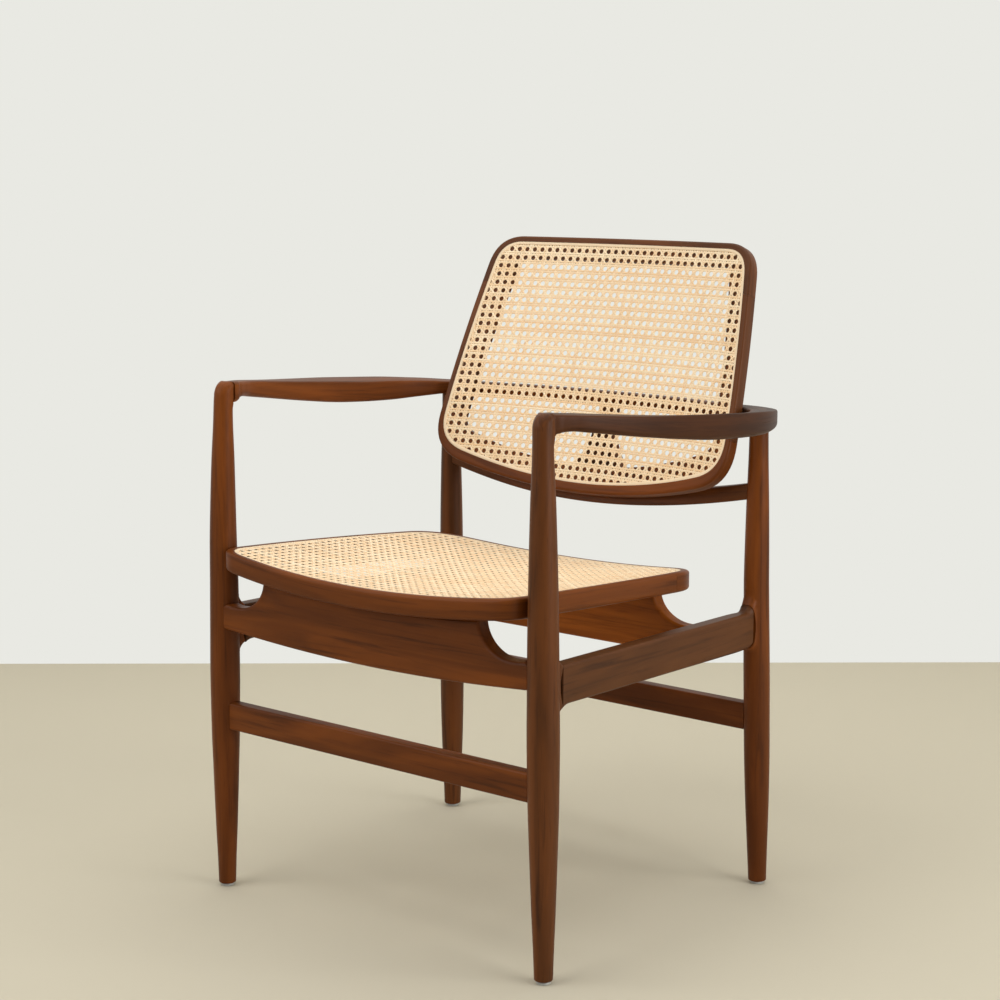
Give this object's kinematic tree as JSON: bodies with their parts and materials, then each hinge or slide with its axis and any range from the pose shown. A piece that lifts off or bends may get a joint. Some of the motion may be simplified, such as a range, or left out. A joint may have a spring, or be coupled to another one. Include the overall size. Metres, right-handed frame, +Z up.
{
  "type": "caned armchair",
  "caption": "Fixed-frame wooden armchair with a caned, dished seat, a leaning caned back panel and curved arms on round tapered legs.",
  "frame": {"origin": "middle of the bounding box at floor level", "axes": "+Z up from the floor; the chair looks along -Y; +X is to the right as seen from the front"},
  "size_m": [0.642, 0.5636, 0.8196],
  "materials": {
    "wood_dark": "dark red-brown hardwood with a satin oil or lacquer finish",
    "wood_warm": "the same hardwood where it shows warmer, satin",
    "cane": "natural peeled cane, straw coloured, low sheen",
    "cane_strip": "pale reed strip, low sheen",
    "dowel_wood": "plain beech, unfinished",
    "screw_steel": "plain steel",
    "glide_plastic": "clear to grey moulded plastic"
  },
  "bodies": {
    "root": {"front_leg_left": "wood_dark", "back_leg_left": "wood_dark", "side_rail_left": "wood_dark", "arm_left": "wood_dark", "back_frame_side_left": "wood_dark", "seat_frame_side_left": "wood_warm", "seat_dowel_front_left": "dowel_wood", "seat_dowel_rear_left": "dowel_wood", "arm_dowel_left": "dowel_wood", "cross_rail_dowel_left": "dowel_wood", "back_screw_lower_left": "screw_steel", "back_screw_arm_left": "screw_steel", "glide_front_left": "glide_plastic", "glide_back_left": "glide_plastic", "front_leg_right": "wood_dark", "back_leg_right": "wood_dark", "side_rail_right": "wood_dark", "arm_right": "wood_dark", "back_frame_side_right": "wood_dark", "seat_frame_side_right": "wood_warm", "seat_dowel_front_right": "dowel_wood", "seat_dowel_rear_right": "dowel_wood", "arm_dowel_right": "dowel_wood", "cross_rail_dowel_right": "dowel_wood", "back_screw_lower_right": "screw_steel", "back_screw_arm_right": "screw_steel", "glide_front_right": "glide_plastic", "glide_back_right": "glide_plastic", "front_apron": "wood_warm", "rear_apron": "wood_warm", "front_stretcher": "wood_warm", "rear_stretcher": "wood_dark", "lower_back_rail": "wood_dark", "arm_cross_rail": "wood_warm", "back_post": "wood_dark", "seat_frame_front": "wood_warm", "seat_frame_rear": "wood_warm", "seat_cane": "cane", "seat_spline": "cane_strip", "back_frame_upper": "wood_dark", "back_frame_lower": "wood_dark", "back_cane": "cane", "back_spline": "cane_strip"}
  },
  "joints": []
}
